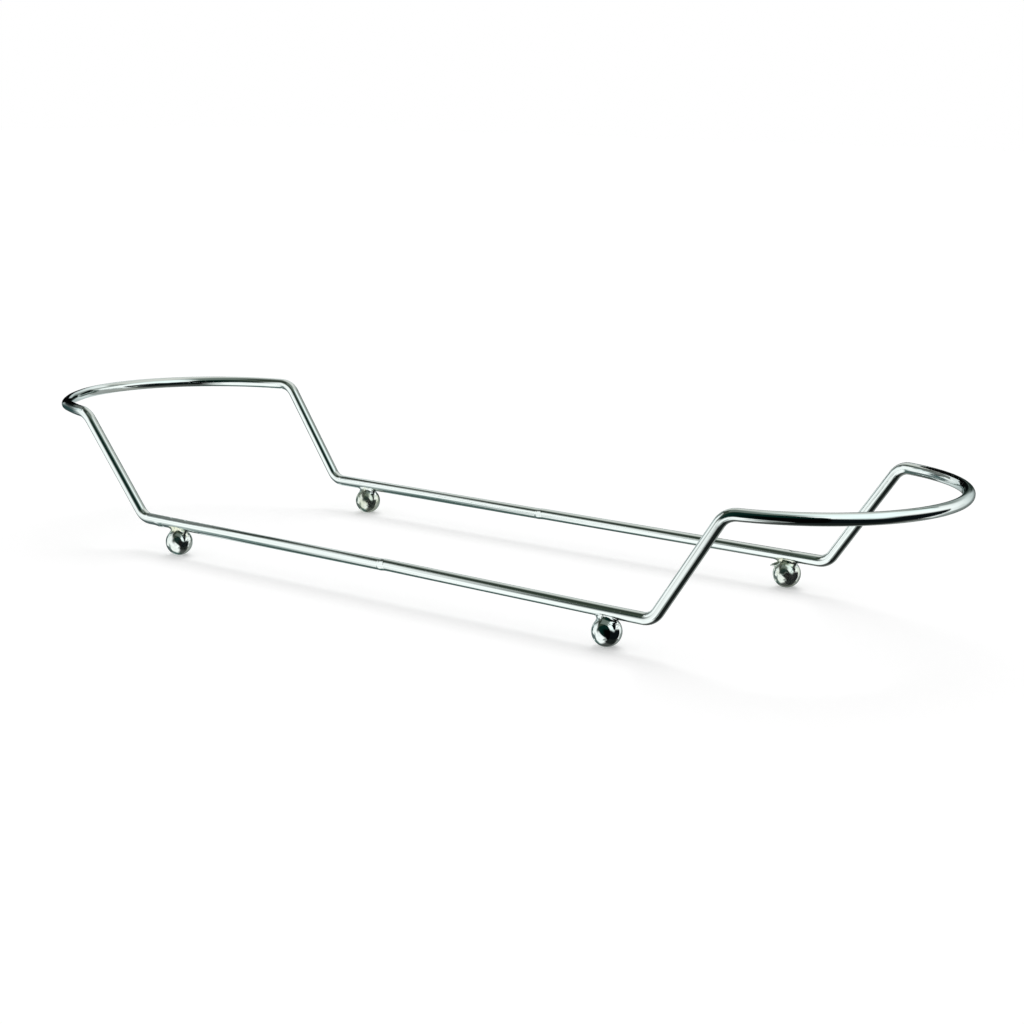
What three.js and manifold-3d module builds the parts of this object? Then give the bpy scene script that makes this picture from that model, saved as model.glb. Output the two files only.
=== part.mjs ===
// A table stand for an oval baking dish, bent from round chromed steel wire.
// Two half frames are butt welded into one closed loop: two straight rails, four
// sloping legs and a level bow at each end that serves as a handle. Four steel
// balls, welded under the rails, are its feet.
// Millimetres, +Z up. The origin is on the table, under the middle of the stand.
// +X runs along the rails to the right handle, +Y from the front rail to the back one.

import * as THREE from 'three';
import * as BufferGeometryUtils from 'three/addons/utils/BufferGeometryUtils.js';
import Module from 'manifold-3d';

const wasm = await Module();
wasm.setup();

// Wire
const WIRE_DIAMETER = 5;
const WIRE_RADIUS = WIRE_DIAMETER / 2;

// Frame outline, measured along the middle of the wire
const RAIL_LENGTH = 281;
const RAIL_SPACING = 130;
const LEG_RUN = 32;
const LEG_RISE = 44.5;
const HANDLE_REACH = 55.5;
const LOWER_BEND_RADIUS = 8;
const UPPER_BEND_RADIUS = 9;

// Hand bending left these corners a little off the regular outline
const FRONT_LEFT_LOWER_INBOARD = 1;
const FRONT_LEFT_LOWER_INWARD = 2;
const FRONT_LEFT_UPPER_OUTBOARD = 2.5;
const FRONT_RIGHT_LOWER_OUTBOARD = 2;
const FRONT_RIGHT_LOWER_OUTWARD = 1;

// Butt welds that close the loop, measured from the middle of each rail
const RAIL_WELD_LENGTH = 2.6;
const RAIL_WELD_SWELL = 0.12;
const RAIL_WELD_CREST_SHARE = 1 / 3;
const FRONT_WELD_OFFSET = 7;
const BACK_WELD_OFFSET = -11.5;

// Ball feet: the weld pressed a flat on the top, and the table wore one underneath
const BALL_DIAMETER = 12;
const BALL_RADIUS = BALL_DIAMETER / 2;
const BALL_SEAT_DEPTH = 0.65;
const BALL_WEAR_DEPTH = 0.15;
const FOOT_INSET = 21;
const FRONT_LEFT_FOOT_INSET = 22.8;
const BACK_RIGHT_FOOT_INSET = 19.5;

// Saddle of weld metal round each seat
const FOOT_WELD_LENGTH = 11;
const FOOT_WELD_SPREAD = 0.6;
const FOOT_WELD_HEIGHT = 5;
const FOOT_WELD_SINK = 0.3;
const FOOT_WELD_GAP = 0.3;

// Heights that follow from the feet
const BALL_HEIGHT = BALL_RADIUS - BALL_WEAR_DEPTH;
const SEAT_HEIGHT = BALL_HEIGHT + BALL_RADIUS - BALL_SEAT_DEPTH;
const RAIL_HEIGHT = SEAT_HEIGHT + WIRE_RADIUS;
const HANDLE_HEIGHT = RAIL_HEIGHT + LEG_RISE;

// Fineness of the faceted solids
const WIRE_SIDES = 16;
const BEND_STEPS = 8;
const BOW_STEPS = 40;
const BALL_SIDES = 24;
const BALL_STEPS = 14;
const BEAD_SIDES = 20;
const BEAD_STEPS = 10;
const ROOM_SIDES = 32;
const ROOM_STEPS = 18;

const LEFT = -1;
const RIGHT = 1;
const FRONT = -1;
const BACK = 1;
const UP = new THREE.Vector3(0, 0, 1);
const ALONG = new THREE.Vector3(1, 0, 0);

const chrome = () => new THREE.MeshStandardMaterial({ color: 0xdfe6e6, roughness: 0.07, metalness: 1 });
const weldMetal = () => new THREE.MeshStandardMaterial({ color: 0xc4c4b2, roughness: 0.28, metalness: 1 });

// The corners of the outline. Each end has a front and a back corner below and above,
// and the bow's tip, which lies on the middle line.

const halfRail = RAIL_LENGTH / 2;
const halfSpacing = RAIL_SPACING / 2;

function cornersOf(end, side) {
  const frontLeft = end === LEFT && side === FRONT;
  const frontRight = end === RIGHT && side === FRONT;
  const lower = new THREE.Vector3(end * halfRail, side * halfSpacing, RAIL_HEIGHT);
  const upper = new THREE.Vector3(end * (halfRail + LEG_RUN), side * halfSpacing, HANDLE_HEIGHT);
  if (frontLeft) {
    lower.x -= end * FRONT_LEFT_LOWER_INBOARD;
    lower.y -= side * FRONT_LEFT_LOWER_INWARD;
    upper.x += end * FRONT_LEFT_UPPER_OUTBOARD;
  }
  if (frontRight) {
    lower.x += end * FRONT_RIGHT_LOWER_OUTBOARD;
    lower.y += side * FRONT_RIGHT_LOWER_OUTWARD;
  }
  return { lower, upper };
}

function tipOf(end) {
  return new THREE.Vector3(end * (halfRail + LEG_RUN + HANDLE_REACH), 0, HANDLE_HEIGHT);
}

// A point of a rail's middle line, at a distance along X from the stand's middle
function pointOnRail(side, x) {
  const start = cornersOf(LEFT, side).lower;
  const end = cornersOf(RIGHT, side).lower;
  const share = (x - start.x) / (end.x - start.x);
  return start.clone().lerp(end, share);
}

function railDirection(side) {
  return cornersOf(RIGHT, side).lower.sub(cornersOf(LEFT, side).lower).normalize();
}

const weldOffset = (side) => (side === FRONT ? FRONT_WELD_OFFSET : BACK_WELD_OFFSET);

// A wire's middle line as a row of stations, each with a point and the wire's direction.
// The stations fall on the ends of the straight runs, so these need no steps of their own.

class WireRoute extends THREE.Curve {
  constructor() {
    super();
    this.points = [];
    this.directions = [];
  }

  add(point, direction) {
    this.points.push(point.clone());
    this.directions.push(direction.clone().normalize());
  }

  station(share) {
    return Math.round(share * (this.points.length - 1));
  }

  getPointAt(share, target = new THREE.Vector3()) {
    return target.copy(this.points[this.station(share)]);
  }

  getTangentAt(share, target = new THREE.Vector3()) {
    return target.copy(this.directions[this.station(share)]);
  }

  // The section stands upright all the way, so a facet lies on top of every level run
  computeFrenetFrames() {
    const tangents = this.directions;
    const normals = tangents.map((t) => UP.clone().addScaledVector(t, -UP.dot(t)).normalize());
    const binormals = tangents.map((t, i) => t.clone().cross(normals[i]));
    return { tangents, normals, binormals };
  }
}

// Rounds a corner: from a point and a direction to the next point and direction, as a circle would
function addBend(route, from, fromDirection, to, toDirection, radius) {
  const turn = fromDirection.angleTo(toDirection);
  const arcHandle = radius * Math.tan(turn / 4) * 4 / 3;
  const curve = new THREE.CubicBezierCurve3(
    from,
    from.clone().addScaledVector(fromDirection, arcHandle),
    to.clone().addScaledVector(toDirection, -arcHandle),
    to,
  );
  for (let i = 0; i <= BEND_STEPS; i += 1) {
    const share = i / BEND_STEPS;
    route.add(curve.getPoint(share), curve.getTangent(share));
  }
}

// How far before and after a corner its bend begins
function bendReach(radius, fromDirection, toDirection) {
  return radius * Math.tan(fromDirection.angleTo(toDirection) / 2);
}

// The bow is one circular arc, level, through two upper corners and the tip
function bowThrough(front, tip, back) {
  const a = front.clone().sub(tip);
  const b = back.clone().sub(tip);
  const twiceArea = 2 * (a.x * b.y - a.y * b.x);
  const squareA = a.x * a.x + a.y * a.y;
  const squareB = b.x * b.x + b.y * b.y;
  const centre = new THREE.Vector3(
    tip.x + (b.y * squareA - a.y * squareB) / twiceArea,
    tip.y + (a.x * squareB - b.x * squareA) / twiceArea,
    tip.z,
  );
  const radius = centre.distanceTo(tip);
  const outward = Math.sign(tip.x - centre.x);
  const angleOf = (p) => Math.atan2(p.y - centre.y, outward * (p.x - centre.x));
  const at = (angle) => {
    const spoke = new THREE.Vector3(outward * Math.cos(angle), Math.sin(angle), 0);
    const direction = new THREE.Vector3(-outward * Math.sin(angle), Math.cos(angle), 0);
    return { point: centre.clone().addScaledVector(spoke, radius), direction };
  };
  return { radius, at, start: angleOf(front), end: angleOf(back) };
}

// One half frame: front rail, front leg, bow, back leg, back rail
function halfFrameRoute(end) {
  const front = cornersOf(end, FRONT);
  const back = cornersOf(end, BACK);
  const bow = bowThrough(front.upper, tipOf(end), back.upper);
  const frontStart = pointOnRail(FRONT, weldOffset(FRONT) + end * RAIL_WELD_LENGTH / 2);
  const backEnd = pointOnRail(BACK, weldOffset(BACK) + end * RAIL_WELD_LENGTH / 2);

  const outRail = front.lower.clone().sub(frontStart).normalize();
  const upLeg = front.upper.clone().sub(front.lower).normalize();
  const downLeg = back.lower.clone().sub(back.upper).normalize();
  const homeRail = backEnd.clone().sub(back.lower).normalize();

  const lowerFrontReach = bendReach(LOWER_BEND_RADIUS, outRail, upLeg);
  const upperFrontReach = bendReach(UPPER_BEND_RADIUS, upLeg, bow.at(bow.start).direction);
  const upperBackReach = bendReach(UPPER_BEND_RADIUS, bow.at(bow.end).direction, downLeg);
  const lowerBackReach = bendReach(LOWER_BEND_RADIUS, downLeg, homeRail);
  const bowStart = bow.start + upperFrontReach / bow.radius;
  const bowEnd = bow.end - upperBackReach / bow.radius;

  const route = new WireRoute();
  route.add(frontStart, outRail);
  addBend(
    route,
    front.lower.clone().addScaledVector(outRail, -lowerFrontReach), outRail,
    front.lower.clone().addScaledVector(upLeg, lowerFrontReach), upLeg,
    LOWER_BEND_RADIUS,
  );
  addBend(
    route,
    front.upper.clone().addScaledVector(upLeg, -upperFrontReach), upLeg,
    bow.at(bowStart).point, bow.at(bowStart).direction,
    UPPER_BEND_RADIUS,
  );
  for (let i = 1; i < BOW_STEPS; i += 1) {
    const station = bow.at(bowStart + (bowEnd - bowStart) * i / BOW_STEPS);
    route.add(station.point, station.direction);
  }
  addBend(
    route,
    bow.at(bowEnd).point, bow.at(bowEnd).direction,
    back.upper.clone().addScaledVector(downLeg, upperBackReach), downLeg,
    UPPER_BEND_RADIUS,
  );
  addBend(
    route,
    back.lower.clone().addScaledVector(downLeg, -lowerBackReach), downLeg,
    back.lower.clone().addScaledVector(homeRail, lowerBackReach), homeRail,
    LOWER_BEND_RADIUS,
  );
  route.add(backEnd, homeRail);
  return route;
}

// The wire's section: a polygon whose flats touch the true circle, one flat on top
function wireSection(radius) {
  const section = new THREE.Shape();
  const cornerRadius = radius / Math.cos(Math.PI / WIRE_SIDES);
  for (let i = 0; i < WIRE_SIDES; i += 1) {
    const angle = (i + 0.5) * 2 * Math.PI / WIRE_SIDES;
    const x = cornerRadius * Math.cos(angle);
    const y = cornerRadius * Math.sin(angle);
    if (i === 0) {
      section.moveTo(x, y);
    } else {
      section.lineTo(x, y);
    }
  }
  return section;
}

function halfFrame(end, name) {
  const route = halfFrameRoute(end);
  const geometry = new THREE.ExtrudeGeometry(wireSection(WIRE_RADIUS), {
    steps: route.points.length - 1,
    extrudePath: route,
  });
  return namedMesh(name, geometry, chrome());
}

// A butt weld: a short collar between the two wire ends, swollen a little in the middle
function railWeld(side, name) {
  const halfLength = RAIL_WELD_LENGTH / 2;
  const halfCrest = halfLength * RAIL_WELD_CREST_SHARE;
  const swollen = WIRE_RADIUS + RAIL_WELD_SWELL;
  const profile = [
    new THREE.Vector2(0, -halfLength),
    new THREE.Vector2(WIRE_RADIUS, -halfLength),
    new THREE.Vector2(swollen, -halfCrest),
    new THREE.Vector2(swollen, halfCrest),
    new THREE.Vector2(WIRE_RADIUS, halfLength),
    new THREE.Vector2(0, halfLength),
  ];
  const geometry = new THREE.LatheGeometry(profile, WIRE_SIDES);
  geometry.rotateZ(-Math.PI / 2);
  const mesh = namedMesh(name, geometry, weldMetal());
  mesh.position.copy(pointOnRail(side, weldOffset(side)));
  mesh.quaternion.setFromUnitVectors(ALONG, railDirection(side));
  return mesh;
}

// The outline of a ball from its worn foot to its seat, as radii and heights about its centre
function ballProfile(radius, wearDepth, seatDepth) {
  const first = Math.acos((radius - wearDepth) / radius);
  const last = Math.PI - Math.acos((radius - seatDepth) / radius);
  const profile = [new THREE.Vector2(0, wearDepth - radius)];
  for (let i = 0; i <= BALL_STEPS; i += 1) {
    const angle = first + (last - first) * i / BALL_STEPS;
    profile.push(new THREE.Vector2(radius * Math.sin(angle), -radius * Math.cos(angle)));
  }
  profile.push(new THREE.Vector2(0, radius - seatDepth));
  return profile;
}

function ballPlace(end, side) {
  let inset = FOOT_INSET;
  if (end === LEFT && side === FRONT) {
    inset = FRONT_LEFT_FOOT_INSET;
  }
  if (end === RIGHT && side === BACK) {
    inset = BACK_RIGHT_FOOT_INSET;
  }
  const corner = cornersOf(end, side).lower;
  const place = pointOnRail(side, corner.x - end * inset);
  place.z = BALL_HEIGHT;
  return place;
}

function ballFoot(end, side, name) {
  const profile = ballProfile(BALL_RADIUS, BALL_WEAR_DEPTH, BALL_SEAT_DEPTH);
  const geometry = new THREE.LatheGeometry(profile, BALL_SIDES);
  geometry.rotateX(Math.PI / 2);
  const mesh = namedMesh(name, geometry, chrome());
  mesh.position.copy(ballPlace(end, side));
  return mesh;
}

// The saddle of weld metal: a flattened bead round the seat, open in the middle where
// the ball bears on the wire, and hollowed to clear both by the same small gap.
// It is shaped about the ball's middle and then turned along its rail.
function footWeld(end, side, name) {
  const bead = new THREE.SphereGeometry(1, BEAD_SIDES, BEAD_STEPS);
  bead.rotateX(Math.PI / 2);
  bead.scale(FOOT_WELD_LENGTH / 2, WIRE_RADIUS + FOOT_WELD_SPREAD, FOOT_WELD_HEIGHT / 2);
  bead.translate(0, 0, SEAT_HEIGHT - FOOT_WELD_SINK - BALL_HEIGHT);

  const roomRadius = WIRE_RADIUS + FOOT_WELD_GAP;
  const wireRoom = new THREE.CylinderGeometry(roomRadius, roomRadius, 2 * FOOT_WELD_LENGTH, ROOM_SIDES);
  wireRoom.rotateZ(Math.PI / 2);
  wireRoom.translate(0, 0, RAIL_HEIGHT - BALL_HEIGHT);

  const ballRoom = new THREE.SphereGeometry(BALL_RADIUS + FOOT_WELD_GAP, ROOM_SIDES, ROOM_STEPS);
  ballRoom.rotateX(Math.PI / 2);

  const saddle = solidOf(bead).subtract(solidOf(wireRoom)).subtract(solidOf(ballRoom));
  const mesh = namedMesh(name, geometryOf(saddle), weldMetal());
  mesh.position.copy(ballPlace(end, side));
  mesh.quaternion.setFromUnitVectors(ALONG, railDirection(side));
  return mesh;
}

// Between three.js geometry and solids that can be cut

function solidOf(geometry) {
  const bare = geometry.clone();
  bare.deleteAttribute('normal');
  bare.deleteAttribute('uv');
  const merged = BufferGeometryUtils.mergeVertices(bare);
  return new wasm.Manifold(new wasm.Mesh({
    numProp: 3,
    vertProperties: new Float32Array(merged.attributes.position.array),
    triVerts: new Uint32Array(merged.index.array),
  }));
}

function geometryOf(solid) {
  const mesh = solid.getMesh();
  const geometry = new THREE.BufferGeometry();
  geometry.setAttribute('position', new THREE.BufferAttribute(mesh.vertProperties, 3));
  geometry.setIndex(new THREE.BufferAttribute(mesh.triVerts, 1));
  return geometry;
}

function namedMesh(name, geometry, material) {
  const mesh = new THREE.Mesh(geometry, material);
  mesh.name = name;
  return mesh;
}

const stand = new THREE.Group();
stand.add(halfFrame(LEFT, 'left_frame_wire'));
stand.add(halfFrame(RIGHT, 'right_frame_wire'));
stand.add(railWeld(FRONT, 'front_rail_weld'));
stand.add(railWeld(BACK, 'back_rail_weld'));

const ends = [[LEFT, 'left'], [RIGHT, 'right']];
const sides = [[FRONT, 'front'], [BACK, 'back']];
for (const [end, endName] of ends) {
  for (const [side, sideName] of sides) {
    stand.add(ballFoot(end, side, `${sideName}_${endName}_ball_foot`));
    stand.add(footWeld(end, side, `${sideName}_${endName}_foot_weld`));
  }
}

export default stand;
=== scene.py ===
# %% [markdown]
# A wire dish stand.
# The real stand is two pieces of round steel wire. Each is bent into half a frame: a front rail, a
# sloping leg, a bow that serves as a handle, a second leg and a back rail. The halves are welded end
# to end into one loop, four steel balls are welded under the rails as feet, and the whole is chromed.
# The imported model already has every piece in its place. This lesson gives each one its fine surface,
# and it starts by loading that model, whose parts are never moved.

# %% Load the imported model
import math

import bpy
import numpy as np
from mathutils import Matrix, Vector, noise


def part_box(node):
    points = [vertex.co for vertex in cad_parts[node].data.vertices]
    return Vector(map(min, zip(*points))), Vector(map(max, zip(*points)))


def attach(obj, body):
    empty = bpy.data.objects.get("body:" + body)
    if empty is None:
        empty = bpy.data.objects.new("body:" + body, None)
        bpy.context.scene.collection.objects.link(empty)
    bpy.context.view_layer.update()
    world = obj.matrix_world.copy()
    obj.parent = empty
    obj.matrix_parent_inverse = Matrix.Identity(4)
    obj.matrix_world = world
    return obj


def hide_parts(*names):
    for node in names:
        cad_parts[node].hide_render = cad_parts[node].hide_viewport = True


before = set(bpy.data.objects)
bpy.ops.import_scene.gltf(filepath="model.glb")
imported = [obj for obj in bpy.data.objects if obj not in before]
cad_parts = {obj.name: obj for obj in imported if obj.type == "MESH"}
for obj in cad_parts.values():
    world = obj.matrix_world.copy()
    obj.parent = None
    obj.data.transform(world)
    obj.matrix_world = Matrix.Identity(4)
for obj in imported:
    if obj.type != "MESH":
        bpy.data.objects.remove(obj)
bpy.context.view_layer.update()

# Blender works in metres, and this script is written in millimetres
MM = 0.001

print("nodes in the frame:", len(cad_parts))

# %% [markdown]
# Sizes.
# A wire stand is described by the places where its wire turns, so the sizes here are half lengths
# from the middle, heights and bend radii. The balls give the rest: the frame knows where they are,
# how large they are and how high their seats lie, so these sizes are read from it.

# %% Sizes of wire, rails and legs
LEFT, RIGHT = -1, 1
FRONT, BACK = -1, 1
END_NAMES = {LEFT: "left", RIGHT: "right"}
SIDE_NAMES = {FRONT: "front", BACK: "back"}
FEET = [(end, side) for end in (LEFT, RIGHT) for side in (FRONT, BACK)]

WIRE_RADIUS = 2.5 * MM
HALF_RAIL = 140.5 * MM
HALF_SPACING = 65 * MM
LEG_RUN = 32 * MM
LEG_RISE = 44.5 * MM
HANDLE_REACH = 55.5 * MM
LOWER_BEND_RADIUS = 8 * MM
UPPER_BEND_RADIUS = 9 * MM

# Hand bending left these corners a little off the regular outline
FRONT_LEFT_LOWER_STRAY = Vector((1 * MM, 2 * MM, 0))
FRONT_LEFT_UPPER_STRAY = Vector((-2.5 * MM, 0, 0))
FRONT_RIGHT_LOWER_STRAY = Vector((2 * MM, -1 * MM, 0))

# Where the left bow was pushed out or in by the bending, and how far
BOW_SHOULDER, SHOULDER_PUSH = Vector((-202 * MM, -54 * MM, 0)), 1 * MM
BOW_CHEEK, CHEEK_PUSH = Vector((-219 * MM, -31 * MM, 0)), -0.4 * MM
PUSH_REACH = 9 * MM

seat_low, seat_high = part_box("back_left_ball_foot")
BALL_RADIUS = (seat_high.x - seat_low.x) / 2
SEAT_HEIGHT = seat_high.z
BALL_WEAR_DEPTH = 0.15 * MM
BALL_HEIGHT = BALL_RADIUS - BALL_WEAR_DEPTH
SEAT_DEPTH = BALL_HEIGHT + BALL_RADIUS - SEAT_HEIGHT
RAIL_HEIGHT = SEAT_HEIGHT + WIRE_RADIUS
HANDLE_HEIGHT = RAIL_HEIGHT + LEG_RISE
print("ball radius", round(BALL_RADIUS / MM, 2), "rail height", round(RAIL_HEIGHT / MM, 2))

# %% [markdown]
# Small helpers for nodes.
# Both the shaders and the geometry are built from nodes. Making one node takes several lines when
# it's written out, so these helpers add a node, give it a readable label, and fill or link its
# sockets by name. A node group is opened with its named inputs and outputs, and closed by linking
# what it puts out.

# %% Helpers for single nodes
def fill(tree, node, inputs):
    """Gives a node its inputs. A node or socket is linked, and any other value is typed in."""
    for key, value in inputs.items():
        if isinstance(value, bpy.types.Node):
            value = value.outputs[0]
        if isinstance(value, bpy.types.NodeSocket):
            tree.links.new(value, node.inputs[key])
        else:
            node.inputs[key].default_value = value


def add_node(tree, kind, label, inputs=None, **settings):
    """Adds a labelled node with its settings and inputs."""
    node = tree.nodes.new(kind)
    node.label = label
    for key, value in settings.items():
        setattr(node, key, value)
    fill(tree, node, inputs or {})
    return node


def calculate(tree, operation, label, first, second=0.0):
    """One sum on two numbers or sockets."""
    return add_node(tree, "ShaderNodeMath", label, {0: first, 1: second}, operation=operation).outputs[0]


def times(tree, label, first, second):
    return calculate(tree, "MULTIPLY", label, first, second)


def plus(tree, label, first, second):
    return calculate(tree, "ADD", label, first, second)


def calculate_place(tree, operation, label, first, second):
    """One sum on two places, or on a place and the number that scales it."""
    inputs = {0: first, "Scale" if operation == "SCALE" else 1: second}
    node = add_node(tree, "ShaderNodeVectorMath", label, inputs, operation=operation)
    return node.outputs["Value" if operation == "DISTANCE" else "Vector"]


def fade(tree, label, value, start, end, low=0.0, high=1.0):
    """Turns a value into a soft step from low, at start, to high, at end."""
    inputs = {"Value": value, "From Min": start, "From Max": end, "To Min": low, "To Max": high}
    node = add_node(tree, "ShaderNodeMapRange", label, inputs, interpolation_type="SMOOTHSTEP")
    return node.outputs["Result"]


def noise_at(tree, label, place, scale, detail=2.0, **others):
    """The outputs of a noise texture. Others are its further inputs."""
    inputs = {"Vector": place, "Scale": scale, "Detail": detail, **others}
    return add_node(tree, "ShaderNodeTexNoise", label, inputs).outputs


def blend_colours(tree, label, share, first, second):
    """Mixes two colours by a share from 0 to 1."""
    node = add_node(tree, "ShaderNodeMix", label, {"Factor": share}, data_type="RGBA")
    sockets = {socket.identifier: socket for socket in node.inputs}
    tree.links.new(first, sockets["A_Color"])
    tree.links.new(second, sockets["B_Color"])
    return next(socket for socket in node.outputs if socket.identifier == "Result_Color")


print("helpers for single nodes are ready")

# %% Helpers for node groups
# A group's input is given by its kind of socket, or by a usual value, whose type tells the kind
FLOAT, VECTOR, COLOUR = "NodeSocketFloat", "NodeSocketVector", "NodeSocketColor"
SOCKET_OF = {float: FLOAT, int: "NodeSocketInt", tuple: COLOUR}


def open_group(name, inputs, outputs, kind="ShaderNodeTree"):
    """Starts a node group with named inputs and outputs. Returns it with what comes in."""
    tree = bpy.data.node_groups.new(name, kind)
    for title, value in inputs.items():
        socket = SOCKET_OF.get(type(value), value)
        item = tree.interface.new_socket(title, in_out="INPUT", socket_type=socket)
        if socket != value:
            item.default_value = value
    for title, socket in outputs.items():
        tree.interface.new_socket(title, in_out="OUTPUT", socket_type=socket)
    return tree, tree.nodes.new("NodeGroupInput").outputs


def close_group(tree, results):
    """Links what a node group puts out, and returns the group."""
    fill(tree, tree.nodes.new("NodeGroupOutput"), results)
    print(tree.name, "has", len(tree.nodes), "nodes")
    return tree


def use_group(tree, group, inputs):
    """Places a node group with its own values, and returns its outputs."""
    return add_node(tree, "ShaderNodeGroup", group.name, inputs, node_tree=group).outputs


print("helpers for node groups are ready")

# %% [markdown]
# The marks that every finish shares.
# Chrome is a mirror, so what tells the eye that it's metal and not paint is how the mirror fails:
# fine lines along the wire from the die that it was drawn through, faint wipes and scratches, and a
# dull, yellowed bloom round each weld. Each of these is a node group, so that wire, balls and welds
# can use the same effect at their own strength.

# %% Colours of the plating
CHROME = (0.88, 0.955, 0.935, 1.0)
YELLOWED = (0.88, 0.90, 0.68, 1.0)
GREENISH = (0.50, 0.60, 0.45, 1.0)
OLIVE = (0.64, 0.70, 0.52, 1.0)
print("chrome is", CHROME[:3])

# %% Draw lines along the wire
BROAD_SHARE = 0.25

tree, given = open_group("draw_lines", {
    "Place": VECTOR, "Lines per metre": 2500.0, "Stretch": 0.02,
}, {"Height": FLOAT, "Streak": FLOAT})
stretch = add_node(tree, "ShaderNodeCombineXYZ", "stretch along the wire", {
    "X": 1.0, "Y": 1.0, "Z": given["Stretch"],
})
pulled = calculate_place(tree, "MULTIPLY", "pull the pattern along", given["Place"], stretch)
fine = noise_at(tree, "fine lines", pulled, given["Lines per metre"], detail=3.0, Roughness=0.6)
broad_lines = times(tree, "broad lines", given["Lines per metre"], BROAD_SHARE)
broad = noise_at(tree, "broad streaks", pulled, broad_lines)
draw_lines = close_group(tree, {"Height": fine["Fac"], "Streak": broad["Fac"]})

# %% Wipes and fine scratches from handling
tree, given = open_group("handling_marks", {
    "Place": VECTOR, "Patches per metre": 60.0, "Scratches per metre": 900.0,
    "Clean roughness": 0.03, "Wiped roughness": 0.10,
}, {"Roughness": FLOAT, "Scratch": FLOAT})
place = given["Place"]
patches = noise_at(tree, "wiped patches", place, given["Patches per metre"], detail=4.0)
wiped = fade(tree, "only the stronger wipes", patches["Fac"], start=0.45, end=0.75)
wiped_roughness = add_node(tree, "ShaderNodeMapRange", "roughness of the wipe", {
    "Value": wiped, "To Min": given["Clean roughness"], "To Max": given["Wiped roughness"],
})
marks = noise_at(tree, "short scratches", place, given["Scratches per metre"], Distortion=3.0)
scratch = fade(tree, "thin the scratches out", marks["Fac"], start=0.62, end=0.70)
handling_marks = close_group(tree, {"Roughness": wiped_roughness, "Scratch": scratch})

# %% Mottled bloom near the welds
tree, given = open_group("weld_bloom", {
    "Place": VECTOR, "Heat": 0.0, "Spots per metre": 700.0,
    "Clean colour": CHROME, "Bloom colour": YELLOWED, "Fleck colour": GREENISH,
}, {"Colour": COLOUR, "Bloom": FLOAT, "Pits": FLOAT})
heat = given["Heat"]
spots = noise_at(tree, "uneven spots", given["Place"], given["Spots per metre"], detail=4.0)
ragged = calculate(tree, "SUBTRACT", "spots about their middle", spots["Fac"], 0.5)
ragged = plus(tree, "ragged edge of the heat", heat, ragged)
bloom = fade(tree, "where the bloom shows", ragged, start=0.35, end=0.75)
bloom = times(tree, "none where it stayed cold", bloom, heat)
channels = add_node(tree, "ShaderNodeSeparateColor", "other noises", {0: spots["Color"]})
flecks = fade(tree, "flecks in the bloom", channels.outputs["Green"], start=0.48, end=0.6)
scale = blend_colours(tree, "bloom to fleck", flecks, given["Bloom colour"], given["Fleck colour"])
tinted = blend_colours(tree, "plating to bloom", bloom, given["Clean colour"], scale)
pits = times(tree, "pits only in the bloom", bloom, spots["Fac"])
weld_bloom = close_group(tree, {"Colour": tinted, "Bloom": bloom, "Pits": pits})

# %% Plating that has gone dull with washing
tree, given = open_group("worn_plating", {
    "Place": VECTOR, "Wear": 0.0, "Spots per metre": 450.0, "Worn roughness": 0.25,
    "Film": 0.1, "Roughness": 0.03, "Colour": CHROME, "Worn colour": OLIVE,
}, {"Colour": COLOUR, "Roughness": FLOAT, "Metal": FLOAT})
cloudy = noise_at(tree, "cloudy spots", given["Place"], given["Spots per metre"], detail=3.0)
uneven = fade(tree, "uneven wear", cloudy["Fac"], start=0.35, end=0.65, low=0.6, high=1.2)
worn = times(tree, "wear here", given["Wear"], uneven)
rougher = times(tree, "rougher where worn", worn, given["Worn roughness"])
rougher = plus(tree, "whole roughness", rougher, given["Roughness"])
duller = blend_colours(tree, "duller where worn", worn, given["Colour"], given["Worn colour"])
film = times(tree, "film of lime and wear", worn, given["Film"])
bare = calculate(tree, "SUBTRACT", "metal that still shows", 1.0, film)
worn_plating = close_group(tree, {"Colour": duller, "Roughness": rougher, "Metal": bare})

# %% [markdown]
# Three finishes.
# The wire, the balls and the weld metal all wear the same chrome, but over different ground: drawn
# wire shows its lines, a ball is ground smooth, and weld metal is lumpy, so its plating is duller.
# The Principled shader's Metallic is 1, except on the balls, where years of washing left a thin dull
# film that lets less of the mirror through. Colour, roughness and bump come from the groups above.
# Heat is an attribute that each piece carries on its points. It is called weld_heat, since the plain
# name heat is kept by Blender for the heat of smoke.

# %% A function that makes a chrome finish
# Chromium reflects a little less where it's seen nearly edge on
GRAZING = (0.45, 0.5, 0.5, 1.0)
# The height that a mark of strength 1 stands out, and the share by which a scratch goes in
MARK_HEIGHT = 0.02 * MM
SCRATCH_SHARE = -0.15


def attribute(tree, title):
    """An attribute that each piece carries on its points."""
    return add_node(tree, "ShaderNodeAttribute", title, attribute_name=title).outputs


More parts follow.
